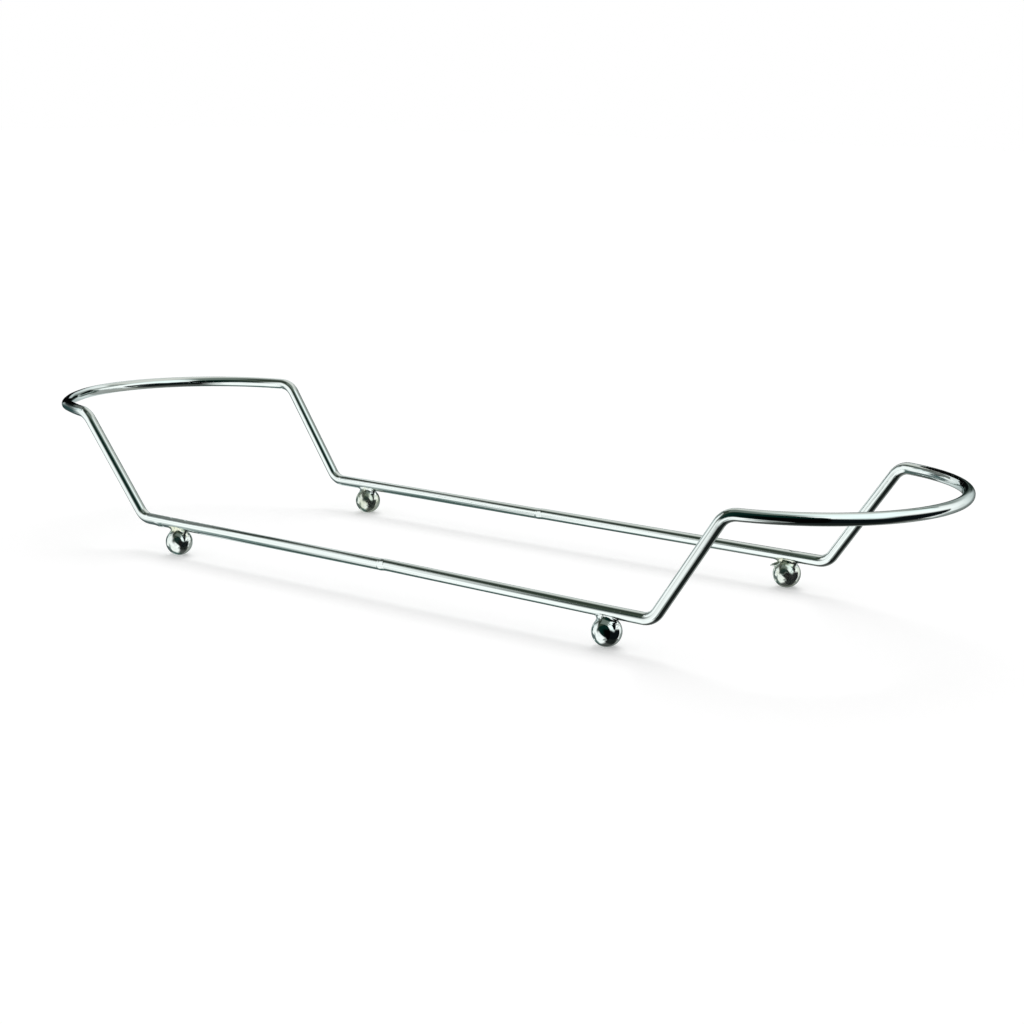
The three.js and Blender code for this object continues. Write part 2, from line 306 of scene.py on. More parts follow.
def chrome_finish(
    name, roughness, spots, bloom_roughness, pit_bump, lines=0.0, line_bump=0.0, washed=False
):
    """Chrome plating. Lines is 0 where the ground has no draw lines. Washed plating has gone dull."""
    material = bpy.data.materials.new(name)
    material.use_nodes = True
    tree = material.node_tree
    place = add_node(tree, "ShaderNodeTexCoord", "place on the stand").outputs["Object"]
    handling = use_group(tree, handling_marks, {
        "Place": place, "Clean roughness": roughness[0], "Wiped roughness": roughness[1],
    })
    bloomed = use_group(tree, weld_bloom, {
        "Place": place, "Heat": attribute(tree, "weld_heat")["Fac"], "Spots per metre": spots,
    })
    duller = times(tree, "dull in the bloom", bloomed["Bloom"], bloom_roughness)
    rough = plus(tree, "marks and bloom", handling["Roughness"], duller)
    colour, metal = bloomed["Colour"], 1.0
    if washed:
        worn = use_group(tree, worn_plating, {
            "Place": place, "Wear": attribute(tree, "plating_wear")["Fac"],
            "Roughness": rough, "Colour": colour,
        })
        colour, rough, metal = worn["Colour"], worn["Roughness"], worn["Metal"]

    pits = times(tree, "pits", bloomed["Pits"], pit_bump)
    scratches = times(tree, "scratches", handling["Scratch"], SCRATCH_SHARE)
    height = plus(tree, "pits and scratches", pits, scratches)
    if lines:
        along_wire = attribute(tree, "wire_place")["Vector"]
        drawn = use_group(tree, draw_lines, {"Place": along_wire, "Lines per metre": lines})
        drawn_height = plus(tree, "lines and streaks", drawn["Height"], drawn["Streak"])
        drawn_height = times(tree, "line height", drawn_height, line_bump)
        height = plus(tree, "all marks", height, drawn_height)
    bump = add_node(tree, "ShaderNodeBump", "marks as bumps", {
        "Height": height, "Distance": MARK_HEIGHT,
    })
    fill(tree, tree.nodes["Principled BSDF"], {
        "Base Color": colour, "Metallic": metal, "Roughness": rough, "Normal": bump,
        "Specular Tint": GRAZING,
    })
    return material


print("a mark of strength 1 is", round(MARK_HEIGHT / MM, 2), "mm high")

# %% The three finishes
chromed_wire = chrome_finish(
    "chromed_wire", roughness=(0.015, 0.05), spots=900.0, bloom_roughness=0.12, pit_bump=2.0,
    lines=2600.0, line_bump=0.5,
)
chromed_ball = chrome_finish(
    "chromed_ball", roughness=(0.02, 0.06), spots=900.0, bloom_roughness=0.22, pit_bump=1.0, washed=True
)
plated_weld = chrome_finish(
    "plated_weld", roughness=(0.02, 0.06), spots=700.0, bloom_roughness=0.15, pit_bump=3.0
)
print("finishes:", chromed_wire.name, chromed_ball.name, plated_weld.name)

# %% [markdown]
# The path of the wire.
# A bent wire is best described by where a bender would mark it: the corners of the outline and the
# radius of each bend. The rails and legs are straight between the bends, and the bow is one circular
# arc through two corners and a tip. These few points are all that the shape needs. The front rails
# rise a little towards their joint, and the two halves don't quite meet in line, as hand work shows.

# %% Corners of the outline
FRONT_JOINT_RISE = 0.5 * MM
JOINT_STEP = 0.2 * MM
JOINT_HALF_LENGTH = 1.3 * MM


def corners_of(end, side):
    """The lower and upper corner of one leg."""
    lower = Vector((end * HALF_RAIL, side * HALF_SPACING, RAIL_HEIGHT))
    upper = Vector((end * (HALF_RAIL + LEG_RUN), side * HALF_SPACING, HANDLE_HEIGHT))
    if (end, side) == (LEFT, FRONT):
        lower += FRONT_LEFT_LOWER_STRAY
        upper += FRONT_LEFT_UPPER_STRAY
    if (end, side) == (RIGHT, FRONT):
        lower += FRONT_RIGHT_LOWER_STRAY
    return lower, upper


def named(end, side):
    return f"{SIDE_NAMES[side]}_{END_NAMES[end]}"


def middle_of(node):
    low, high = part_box(node)
    return (low + high) / 2


def foot_of(end, side, height):
    """The place of a ball foot, at a height."""
    place = middle_of(named(end, side) + "_ball_foot")
    place.z = height
    return place


def joint_of(end, side):
    """The end of a half frame's wire at the joint, with the small step between the two halves."""
    place = middle_of(f"{SIDE_NAMES[side]}_rail_weld")
    place.x += end * JOINT_HALF_LENGTH
    place.z += end * JOINT_STEP / 2
    if side == FRONT:
        place.z += FRONT_JOINT_RISE
    return place


for side in (FRONT, BACK):
    print(SIDE_NAMES[side], "joint", [round(v / MM, 1) for v in joint_of(LEFT, side)])

# %% Stations along one half frame
BEND_STEPS = 24
BOW_STEPS = 160


def bend_reach(radius, before, after):
    """How far before and after a corner its bend begins."""
    return radius * math.tan(before.angle(after) / 2)


def bend(start, before, end, after, radius):
    """Points of a round bend from start to end, as a curve that leaves and arrives in line."""
    handle = radius * math.tan(before.angle(after) / 4) * 4 / 3
    first, second = start + before * handle, end - after * handle
    points = []
    for step in range(BEND_STEPS + 1):
        t = step / BEND_STEPS
        point = start * (1 - t) ** 3 + first * 3 * t * (1 - t) ** 2
        points.append(point + second * 3 * t * t * (1 - t) + end * t**3)
    return points


def round_corner(corner, before, after):
    """The bend where a rail meets a leg."""
    reach = bend_reach(LOWER_BEND_RADIUS, before, after)
    return bend(corner - before * reach, before, corner + after * reach, after, LOWER_BEND_RADIUS)


def bow_through(front, tip, back):
    """The level arc through three points: returns a function from an angle to a point and direction."""
    a, b = front - tip, back - tip
    twice_area = 2 * (a.x * b.y - a.y * b.x)
    square_a, square_b = a.x**2 + a.y**2, b.x**2 + b.y**2
    away = Vector((b.y * square_a - a.y * square_b, a.x * square_b - b.x * square_a, 0)) / twice_area
    centre = tip + away
    radius = (centre - tip).length
    outward = math.copysign(1, tip.x - centre.x)

    def at(angle):
        spoke = Vector((outward * math.cos(angle), math.sin(angle), 0))
        heading = Vector((-outward * math.sin(angle), math.cos(angle), 0))
        return centre + spoke * radius, heading

    def angle_of(point):
        return math.atan2(point.y - centre.y, outward * (point.x - centre.x))

    return at, angle_of(front), angle_of(back), radius


def pushed(point, heading):
    """A point of the left bow, moved square to the wire where the bending pushed it out or in."""
    outward = Vector((-heading.y, heading.x, 0))
    push = 0
    for place, height in ((BOW_SHOULDER, SHOULDER_PUSH), (BOW_CHEEK, CHEEK_PUSH)):
        away = (Vector((point.x, point.y, 0)) - place).length / PUSH_REACH
        push += height * math.exp(-(away**2))
    return point + outward * push


def half_frame_path(end):
    """Points of the wire's middle line, from the front joint round the bow to the back joint."""
    front_lower, front_upper = corners_of(end, FRONT)
    back_lower, back_upper = corners_of(end, BACK)
    tip = Vector((end * (HALF_RAIL + LEG_RUN + HANDLE_REACH), 0, HANDLE_HEIGHT))
    at, first_angle, last_angle, bow_radius = bow_through(front_upper, tip, back_upper)

    front_foot, back_foot = (foot_of(end, side, RAIL_HEIGHT) for side in (FRONT, BACK))
    out_rail = (front_lower - front_foot).normalized()
    up_leg = (front_upper - front_lower).normalized()
    down_leg = (back_lower - back_upper).normalized()
    home_rail = (back_foot - back_lower).normalized()

    upper_front = bend_reach(UPPER_BEND_RADIUS, up_leg, at(first_angle)[1])
    upper_back = bend_reach(UPPER_BEND_RADIUS, at(last_angle)[1], down_leg)
    bow_start = first_angle + upper_front / bow_radius
    bow_end = last_angle - upper_back / bow_radius

    points = [joint_of(end, FRONT), front_foot]
    points += round_corner(front_lower, out_rail, up_leg)
    points += bend(front_upper - up_leg * upper_front, up_leg, *at(bow_start), UPPER_BEND_RADIUS)
    for step in range(1, BOW_STEPS):
        point, heading = at(bow_start + (bow_end - bow_start) * step / BOW_STEPS)
        points.append(pushed(point, heading))
    points += bend(*at(bow_end), back_upper + down_leg * upper_back, down_leg, UPPER_BEND_RADIUS)
    points += round_corner(back_lower, down_leg, home_rail)
    points += [back_foot, joint_of(end, BACK)]
    return points


for end in (LEFT, RIGHT):
    path = half_frame_path(end)
    length = sum((b - a).length for a, b in zip(path, path[1:]))
    print(END_NAMES[end], "half frame:", len(path), "points,", round(length / MM), "mm of wire")

# %% [markdown]
# The wire itself.
# A wire is a circle swept along a path, which is a rule and not a sculpture, so Geometry Nodes make
# it. The tree takes the path, spaces its stations evenly, adds the slight sway of a wire that was
# straightened off a coil, sweeps the circle, presses the nicks that the welding tongs left on top and
# raises a lump of spatter. It also writes two attributes for the shader: where each point lies along
# and round the wire, and how much heat it had from the nearest weld.

# %% What the wire's tree is given
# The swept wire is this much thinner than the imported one, so that its sway keeps within it
SWAY_ROOM = 0.02 * MM
GEOMETRY = "NodeSocketGeometry"

tree, given = open_group("bent_wire", {
    "Path": GEOMETRY, "Wire radius": WIRE_RADIUS - SWAY_ROOM, "Sides": 56,
    "Station spacing": 0.8 * MM, "Sway": 0.05 * MM, "Sways per metre": 18.0, "Seed": 0.0,
    "First nick": VECTOR, "Second nick": VECTOR, "Nick reach": 1.3 * MM, "Nick depth": 0.3 * MM,
    "Lump": VECTOR, "Lump reach": 3.5 * MM, "Lump height": 0.3 * MM,
    "Front seat": VECTOR, "Back seat": VECTOR, "Front heat": 1.0, "Back heat": 1.0,
    "Heat reach": 4 * MM, "Finish": "NodeSocketMaterial",
}, {"Wire": GEOMETRY}, "GeometryNodeTree")
print("the wire's tree has", len(given) - 1, "inputs")

# %% Stations along the path
NOISE_MIDDLE = (0.5, 0.5, 0.5)

line = add_node(tree, "GeometryNodeMeshToCurve", "path as a curve", {"Mesh": given["Path"]})
stations = add_node(tree, "GeometryNodeResampleCurve", "even stations", {
    "Curve": line, "Length": given["Station spacing"],
}, mode="LENGTH")
here = add_node(tree, "GeometryNodeInputPosition", "place of the station")
slow = add_node(tree, "ShaderNodeTexNoise", "slow sway", {
    "Vector": here, "W": given["Seed"], "Scale": given["Sways per metre"], "Detail": 1.0,
}, noise_dimensions="4D").outputs["Color"]
sway = calculate_place(tree, "SUBTRACT", "sway about the middle", slow, NOISE_MIDDLE)
sway = calculate_place(tree, "SCALE", "size of the sway", sway, given["Sway"])
swayed = add_node(tree, "GeometryNodeSetPosition", "sway the path", {
    "Geometry": stations, "Offset": sway,
})
upright = add_node(
    tree, "GeometryNodeSetCurveNormal", "keep the section upright", {"Curve": swayed}, mode="Z_UP"
)
print("the tree has spaced the stations")

# %% Sweep the circle
def remember(tree, geometry, kind, title, value):
    """Captures a value on a curve's points, to be read after the sweep."""
    node = add_node(tree, "GeometryNodeCaptureAttribute", f"remember {title}")
    node.capture_items.new(kind, title)
    fill(tree, node, {"Geometry": geometry, title: value})
    return node.outputs


length = add_node(tree, "GeometryNodeSplineParameter", "length so far").outputs["Length"]
along_line = remember(tree, upright, "FLOAT", "Length", length)
section = add_node(tree, "GeometryNodeCurvePrimitiveCircle", "section of the wire", {
    "Resolution": given["Sides"], "Radius": given["Wire radius"],
})
on_circle = add_node(tree, "GeometryNodeInputPosition", "place on the circle")
round_line = remember(tree, section, "VECTOR", "Side", on_circle)
swept = add_node(tree, "GeometryNodeCurveToMesh", "sweep the circle", {
    "Curve": along_line["Geometry"], "Profile Curve": round_line["Geometry"], "Fill Caps": True,
})
print("the tree sweeps the wire")

# %% Nicks and a lump, and what the shader needs to know
def near(tree, place, reach):
    """1 at a place on the wire, fading to 0 at its reach."""
    here = add_node(tree, "GeometryNodeInputPosition", "place on the wire")
    distance = calculate_place(tree, "DISTANCE", "distance", here, place)
    return fade(tree, "fades out at its reach", distance, reach, 0.0)


def raised(tree, geometry, mask, height, label):
    """Moves the skin of the wire outwards by a height, where the mask says so."""
    lift = times(tree, "how far", mask, height)
    outward = add_node(tree, "GeometryNodeInputNormal", "outwards")
    offset = calculate_place(tree, "SCALE", "move", outward, lift)
    return add_node(tree, "GeometryNodeSetPosition", label, {"Geometry": geometry, "Offset": offset})


def written(tree, geometry, kind, title, value):
    """Writes an attribute on the points, for the shader to read."""
    return add_node(tree, "GeometryNodeStoreNamedAttribute", f"write {title}", {
        "Geometry": geometry, "Name": title, "Value": value,
    }, data_type=kind)


side_place = add_node(tree, "ShaderNodeSeparateXYZ", "side", {0: round_line["Side"]}).outputs
wire_place = add_node(tree, "ShaderNodeCombineXYZ", "across, across and along", {
    "X": side_place["X"], "Y": side_place["Y"], "Z": along_line["Length"],
})
shaped = written(tree, swept, "FLOAT_VECTOR", "wire_place", wire_place)
depth = times(tree, "inwards", given["Nick depth"], -1.0)
for nick in ("First nick", "Second nick"):
    mask = near(tree, given[nick], given["Nick reach"])
    shaped = raised(tree, shaped, mask, depth, "press a nick")
mask = near(tree, given["Lump"], given["Lump reach"])
shaped = raised(tree, shaped, mask, given["Lump height"], "raise the lump")
heats = []
for seat in ("Front", "Back"):
    closeness = near(tree, given[f"{seat} seat"], given["Heat reach"])
    heats.append(times(tree, "heat of the seat", closeness, given[f"{seat} heat"]))
heat = calculate(tree, "MAXIMUM", "hotter of the seats", *heats)
heated = written(tree, shaped, "FLOAT", "weld_heat", heat)
smooth = add_node(tree, "GeometryNodeSetShadeSmooth", "smooth", {"Geometry": heated})
real = add_node(tree, "GeometryNodeRealizeInstances", "plain mesh", {"Geometry": smooth})
finished = add_node(tree, "GeometryNodeSetMaterial", "finish", {
    "Geometry": real, "Material": given["Finish"],
})
bent_wire = close_group(tree, {"Wire": finished})


def show(data, name):
    """Puts a mesh, a camera or a light into the scene, at the origin."""
    thing = bpy.data.objects.new(name, data)
    bpy.context.scene.collection.objects.link(thing)
    return thing


def fit(thing, node):
    """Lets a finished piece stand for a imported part, which it rides with."""
    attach(thing, "root")
    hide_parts(node)
    print(thing.name, "has", len(thing.data.polygons), "faces")


def through_nodes(host, tree, values, name):
    """Runs a mesh through a tree and returns the result as a plain mesh object."""
    modifier = host.modifiers.new("shape", "NODES")
    modifier.node_group = tree
    for item in tree.interface.items_tree:
        if item.in_out == "INPUT" and item.name in values:
            modifier[item.identifier] = values[item.name]
    graph = bpy.context.evaluated_depsgraph_get()
    mesh = bpy.data.meshes.new_from_object(
        host.evaluated_get(graph), preserve_all_data_layers=True, depsgraph=graph
    )
    host.modifiers.remove(modifier)
    bpy.data.objects.remove(host)
    return show(mesh, name)


# %% Make the two half frames
# How much heat each foot took from its weld, on ball, wire and saddle alike
FOOT_HEATS = {(LEFT, FRONT): 0.9, (LEFT, BACK): 0.65, (RIGHT, FRONT): 0.3, (RIGHT, BACK): 0.85}
# Two nicks on top of each half's rails, as distances along the rail from a ball's middle. The right
# half has both at one place, which makes one deep nick.
NICKS = {LEFT: ((FRONT, -4.4 * MM), (FRONT, 5 * MM)), RIGHT: ((BACK, 2.4 * MM), (BACK, 2.4 * MM))}
# The lump is under the front left rail, a little to the front
LUMP_FROM_BALL = -11.5 * MM
LUMP_TURN = math.radians(160)
NOWHERE = Vector((0, 0, -1))


def on_wire(end, side, along, turn):
    """A point on the wire's skin near a ball. Turn 0 is on top, and turns go round the front."""
    place = foot_of(end, side, RAIL_HEIGHT)
    around = Vector((0, -math.sin(turn), math.cos(turn))) * WIRE_RADIUS
    return place + Vector((along, 0, 0)) + around


def half_frame(end):
    name = f"{END_NAMES[end]}_half_frame"
    path = half_frame_path(end)
    line = bpy.data.meshes.new(name + "_path")
    line.from_pydata(path, [(i, i + 1) for i in range(len(path) - 1)], [])
    first, second = (on_wire(end, side, along, 0.0) for side, along in NICKS[end])
    values = {
        "Seed": float(end),
        "First nick": first,
        "Second nick": second,
        "Lump": on_wire(LEFT, FRONT, LUMP_FROM_BALL, LUMP_TURN) if end == LEFT else NOWHERE,
        "Finish": chromed_wire,
    }
    for seat, side in (("Front", FRONT), ("Back", BACK)):
        values[f"{seat} seat"] = on_wire(end, side, 0.0, math.pi)
        values[f"{seat} heat"] = FOOT_HEATS[end, side]
    return through_nodes(show(line, name + "_path"), bent_wire, values, name)


for end in (LEFT, RIGHT):
    fit(half_frame(end), f"{END_NAMES[end]}_frame_wire")

# %% [markdown]
# The balls.
# A ball foot is a steel ball with a small flat on top, where the weld pressed it against the wire,
# and a smaller one underneath, where it has rubbed on tables. It starts as a globe of rings and
# spokes, whose height is then softly limited at both flats, so that their rims are rounded as wear
# rounds them. A globe's faces go from its lowest point over its rings to its highest, and the same
# faces will serve for the welds, which have other shapes but are closed in the same way.

# %% Globes and closed skins
def circle(sides):
    """The points of a circle of radius 1, as pairs."""
    turns = [2 * math.pi * side / sides for side in range(sides)]
    return [(math.cos(turn), math.sin(turn)) for turn in turns]


def globe(sides, rings):
    """Directions of a globe, from the one straight down to the one straight up."""
    directions = [(0.0, 0.0, -1.0)]
    for ring in range(1, rings):
        polar = math.pi * ring / rings
        for x, y in circle(sides):
            directions.append((math.sin(polar) * x, math.sin(polar) * y, -math.cos(polar)))
    directions.append((0.0, 0.0, 1.0))
    return np.array(directions)


def write(mesh, title, values):
    """Writes one number on each point of a mesh, for the shader to read."""
    mesh.attributes.new(title, "FLOAT", "POINT").data.foreach_set("value", values)


def closed_skin(name, points, sides, heats, finish):
    """A piece whose skin goes from a first point over rings of points to a last point."""
    last = len(points) - 1
    faces = []
    for side in range(sides):
        following = (side + 1) % sides
        faces.append((0, 1 + following, 1 + side))
        for low in range(1, last - sides, sides):
            high = low + sides
            faces.append((low + side, low + following, high + following, high + side))
        faces.append((last - sides + side, last - sides + following, last))
    mesh = bpy.data.meshes.new(name)
    mesh.from_pydata(points, [], faces)
    mesh.shade_smooth()
    mesh.materials.append(finish)
    write(mesh, "weld_heat", heats)
    return show(mesh, name)


print("a circle of four:", [(round(x), round(y)) for x, y in circle(4)])

# %% Make the four balls
BALL_SIDES = 72
BALL_RINGS = 60
RIM_SOFTNESS = 0.08 * MM
BALL_HEAT_REACH = 2.5 * MM
# How dull each ball's plating has become all over, from 0 for bright
WEAR = {(LEFT, FRONT): 0.15, (LEFT, BACK): 0.6, (RIGHT, FRONT): 0.0, (RIGHT, BACK): 0.4}


def softly_limited(value, limit, softness):
    """The smaller of two lengths, with the corner between them rounded."""
    share = min(max(0.5 + 0.5 * (limit - value) / softness, 0), 1)
    return limit * (1 - share) + value * share - softness * share * (1 - share)


def ball_heat(point):
    depth = BALL_RADIUS - SEAT_DEPTH - point.z
    return min(max(1 - depth / BALL_HEAT_REACH, 0), 1) ** 2


def ball(end, side):
    centre = foot_of(end, side, BALL_HEIGHT)
    points, heats = [], []
    for direction in globe(BALL_SIDES, BALL_RINGS):
        point = Vector(direction) * BALL_RADIUS
        point.z = softly_limited(point.z, BALL_RADIUS - SEAT_DEPTH, RIM_SOFTNESS)
        point.z = -softly_limited(-point.z, BALL_RADIUS - BALL_WEAR_DEPTH, RIM_SOFTNESS)
        points.append(point + centre)
        heats.append(FOOT_HEATS[end, side] * ball_heat(point))
    piece = closed_skin(named(end, side) + "_ball", points, BALL_SIDES, heats, chromed_ball)
    write(piece.data, "plating_wear", [WEAR[end, side]] * len(points))
    return piece


for end, side in FEET:
    fit(ball(end, side), named(end, side) + "_ball_foot")

# %% [markdown]
# The saddles of weld metal.
# Molten metal wets both the ball and the wire and sets in a hollow curve between them. The blend of
# two distance formulas gives just that: take the distance to the wire and the distance to the ball,
# and melt the smaller of the two into the other where they are nearly equal. The saddle is then
# everything within that blended surface and an egg round the seat, which is longer to one side where
# more metal ran along the wire. From the seat every direction leaves it once, so a ray in each
# direction of a globe finds its skin. At the back right ball a spur of flash was left standing.
# Slow lumps and finer ripples make the metal uneven, as it sets.

# %% Find the skin of a saddle
SADDLE_SIDES = 96
SADDLE_RINGS = 64
SADDLE_BLEND = 2.7 * MM
SADDLE_SIDE = 4.6 * MM
SADDLE_ABOVE = 1.9 * MM
SADDLE_BELOW = 3.2 * MM
# How far the metal ran along the wire, to the left and to the right
SADDLE_RUNS = {
    (LEFT, FRONT): (8.5 * MM, 9.5 * MM),
    (LEFT, BACK): (6 * MM, 8.5 * MM),
    (RIGHT, FRONT): (5.5 * MM, 7 * MM),
    (RIGHT, BACK): (7.5 * MM, 6.5 * MM),
}
SADDLE_COOLING = 16 * MM
SPUR = Vector((-6 * MM, -4 * MM, -2.0 * MM))
SPUR_WIDTH = math.radians(8)
SUNK = 0.03 * MM
LUMPS = 0.12 * MM
LUMPS_PER_METRE = 420
RIPPLES = 0.05 * MM
RIPPLES_PER_METRE = 1600
SEARCH_STEPS = 30


def blended_distance(points):
    """Distance to the skin of wire and ball melted together. The seat is at the origin."""
    wire = np.hypot(points[:, 1], points[:, 2] - WIRE_RADIUS) - WIRE_RADIUS + SUNK
    ball_centre = np.array((0, 0, SEAT_DEPTH - BALL_RADIUS))
    ball = np.linalg.norm(points - ball_centre, axis=1) - BALL_RADIUS + SUNK
    share = np.clip(0.5 + 0.5 * (ball - wire) / SADDLE_BLEND, 0, 1)
    return ball * (1 - share) + wire * share - SADDLE_BLEND * share * (1 - share)


def saddle_radii(directions, to_left, to_right):
    """How far the saddle's skin is from the seat in each direction."""
    runs = np.where(directions[:, 0] < 0, to_left, to_right)
    heights = np.where(directions[:, 2] < 0, SADDLE_BELOW, SADDLE_ABOVE)
    sizes = np.stack([runs, np.full_like(runs, SADDLE_SIDE), heights], axis=1)
    egg = 1 / np.linalg.norm(directions / sizes, axis=1)
    near, far = np.zeros(len(directions)), egg.copy()
    inside_egg = blended_distance(directions * egg[:, None]) > 0
    for _ in range(SEARCH_STEPS):
        middle = (near + far) / 2
        outside = blended_distance(directions * middle[:, None]) > 0
        far = np.where(outside, middle, far)
        near = np.where(outside, near, middle)
    return np.where(inside_egg, far, egg)


def with_spur(directions, radii):
    """Pulls the skin out to the tip of the spur, in the directions near it."""
    aim = np.array(SPUR.normalized())
    angle = np.arccos(np.clip(directions @ aim, -1, 1))
    pull = np.exp(-((angle / SPUR_WIDTH) ** 2))
    return np.where(radii < SPUR.length, radii + (SPUR.length - radii) * pull, radii)


print("the metal blends over", round(SADDLE_BLEND / MM, 1), "mm")

# %% Make the four saddles
def saddle(end, side):
    seat = foot_of(end, side, SEAT_HEIGHT)
    directions = globe(SADDLE_SIDES, SADDLE_RINGS)
    radii = saddle_radii(directions, *SADDLE_RUNS[end, side])
    if (end, side) == (RIGHT, BACK):
        radii = with_spur(directions, radii)
    rail = joint_of(end, side) - seat
    turn = Matrix.Rotation(math.atan2(end * -rail.y, end * -rail.x), 3, "Z")
    points, heats = [], []
    for direction, radius in zip(directions, radii):
        outward = Vector(direction)
        skin = Vector(direction * radius)
        lump = noise.noise((skin + seat) * LUMPS_PER_METRE) * LUMPS
        ripple = noise.noise((skin + seat) * RIPPLES_PER_METRE) * RIPPLES
        point = skin + outward * (lump + ripple)
        points.append(turn @ point + seat)
        heats.append(FOOT_HEATS[end, side] - abs(point.x) / SADDLE_COOLING)
    return closed_skin(named(end, side) + "_saddle", points, SADDLE_SIDES, heats, plated_weld)


for end, side in FEET:
    fit(saddle(end, side), named(end, side) + "_foot_weld")

# %% [markdown]
# The joints of the rails.
# Each rail is closed by a butt weld: the two ends are pressed together while they glow, so a little
# metal swells out round the seam, and it is dressed by hand. The collar is a row of rings along the
# rail, whose radius swells a little and wanders. Its two ends sink below the wire's skin, so that no
# edge shows. Each half runs on in line with its own wire, and the small step is at the seam.

# %% Make the two collars
COLLAR_SIDES = 64
COLLAR_STATIONS = 28
COLLAR_OVERLAP = 0.9 * MM
COLLAR_SUNK = 0.03 * MM
COLLAR_SWELL = 0.005 * MM
COLLAR_WANDER = 0.012 * MM
COLLAR_HEAT = 0.1
# The share of the collar over which an end rises out of the wire, and over which the seam steps
RISE_SHARE, STEP_SHARE = 0.2, 0.6


def soft_step(share):
    """From 0 to 1, leaving and arriving level."""
    share = min(max(share, 0), 1)
    return share * share * (3 - 2 * share)


def collar(side):
    """A swollen row of rings between the two wire ends, closed by a flat at each end."""
    left, right = joint_of(LEFT, side), joint_of(RIGHT, side)
    left.x -= COLLAR_OVERLAP
    right.x += COLLAR_OVERLAP
    points = [left]
    for station in range(COLLAR_STATIONS + 1):
        share = station / COLLAR_STATIONS
        middle = left.lerp(right, share)
        middle.z = left.z + (right.z - left.z) * soft_step(0.5 + (share - 0.5) / STEP_SHARE)
        rise = soft_step(min(share, 1 - share) / RISE_SHARE)
        lift = COLLAR_SWELL * rise - COLLAR_SUNK * (1 - rise)
        for y, z in circle(COLLAR_SIDES):
            spoke = Vector((0, y, z))
            wander = noise.noise((middle + spoke * WIRE_RADIUS) * LUMPS_PER_METRE) * COLLAR_WANDER
            points.append(middle + spoke * (WIRE_RADIUS + lift + wander * rise))
    points.append(right)
    heats = [COLLAR_HEAT] * len(points)
    return closed_skin(f"{SIDE_NAMES[side]}_rail_joint", points, COLLAR_SIDES, heats, plated_weld)


for side in (FRONT, BACK):
    fit(collar(side), f"{SIDE_NAMES[side]}_rail_weld")

# %% [markdown]
# The camera.
# The photograph was taken from the front right, a little above the table, with a long lens. The
# camera's place, how far it is turned and dipped, and its focal length were found by matching the
# wire's outline. The focal length is in pixels of the picture, since that is how it was measured.

# %% Place the camera
PICTURE_SIDE = 1024
FOCAL_PIXELS = 2161.5
CAMERA_TURN = math.radians(38.374)
CAMERA_DIP = math.radians(11.322)
CAMERA_ROLL = math.radians(0.799)
CAMERA_PLACE = Vector((586.38 * MM, -711.77 * MM, 196.93 * MM + RAIL_HEIGHT))
CLIP_START = 10 * MM

lens = bpy.data.cameras.new("camera")
lens.lens = lens.sensor_width * FOCAL_PIXELS / PICTURE_SIDE
lens.clip_start = CLIP_START
camera = show(lens, "camera")
camera.matrix_world = (
    Matrix.Translation(CAMERA_PLACE)
    @ Matrix.Rotation(CAMERA_TURN, 4, "Z")
    @ Matrix.Rotation(math.pi / 2 - CAMERA_DIP, 4, "X")
    @ Matrix.Rotation(CAMERA_ROLL, 4, "Z")
)
bpy.context.scene.camera = camera
print("sensor and lens in mm:", round(lens.sensor_width, 1), round(lens.lens, 1))

# %% [markdown]
# The white studio.
# The stand is photographed on white. The world is plain white wherever the camera or a reflection
# looks, and a little weaker as a light. The floor is pale, keeps the stand's soft shadow, and is
# lifted to the same white for the camera. A broad sun with a wide disc gives the shadow a direction.

# %% Helpers for the studio
X_AXIS, Y_AXIS, Z_AXIS = 0, 1, 2


def bare_material(name):
    """A material without its usual shader, and its node tree."""
    material = bpy.data.materials.new(name)
    material.use_nodes = True
    tree = material.node_tree
    tree.nodes.remove(tree.nodes["Principled BSDF"])
    return material, tree


def put_on_surface(tree, shader):
    fill(tree, tree.nodes["Material Output"], {"Surface": shader})


def other_axes(axis):
    return [other for other in (X_AXIS, Y_AXIS, Z_AXIS) if other != axis]


def sheet(name, axis, level, low, high, material):
    """A flat rectangle square to an axis, at a level along it. Low and high are its two corners."""
    across, up = other_axes(axis)
    corners = []
    for at_across, at_up in (low, (high[0], low[1]), high, (low[0], high[1])):
        corner = Vector((0, 0, 0))
        corner[axis], corner[across], corner[up] = level, at_across, at_up
        corners.append(corner)
    mesh = bpy.data.meshes.new(name)
    mesh.from_pydata(corners, [], [(0, 1, 2, 3)])
    mesh.materials.append(material)
    piece = show(mesh, name)
    return piece


def seen_directly(tree):
    """1 for what the camera, a mirror or a glass looks at."""
    path = add_node(tree, "ShaderNodeLightPath", "kind of ray").outputs
    seen = calculate(tree, "MAXIMUM", "camera or mirror", path["Is Camera Ray"], path["Is Glossy Ray"])
    return calculate(tree, "MAXIMUM", "or glass", seen, path["Is Transmission Ray"])


print("helpers for the studio are ready")

# %% World, floor and sun
WHITE = (1.0, 1.0, 1.0, 1.0)
WORLD_LIGHT = 0.6
FLOOR_COLOUR = (0.8, 0.8, 0.8, 1.0)
FLOOR_LIFT = 0.31
FLOOR_HALF = 6000 * MM
SUN_LIGHT = 0.4
SUN_DISC = math.radians(40)
SUN_BACK, SUN_ASIDE = math.radians(-35), math.radians(-25)

world = bpy.data.worlds.new("white_studio")
world.use_nodes = True
sky = world.node_tree
strength = fade(sky, "white where it is seen", seen_directly(sky), 0.0, 1.0, WORLD_LIGHT, 1.0)
fill(sky, sky.nodes["Background"], {"Color": WHITE, "Strength": strength})
bpy.context.scene.world = world

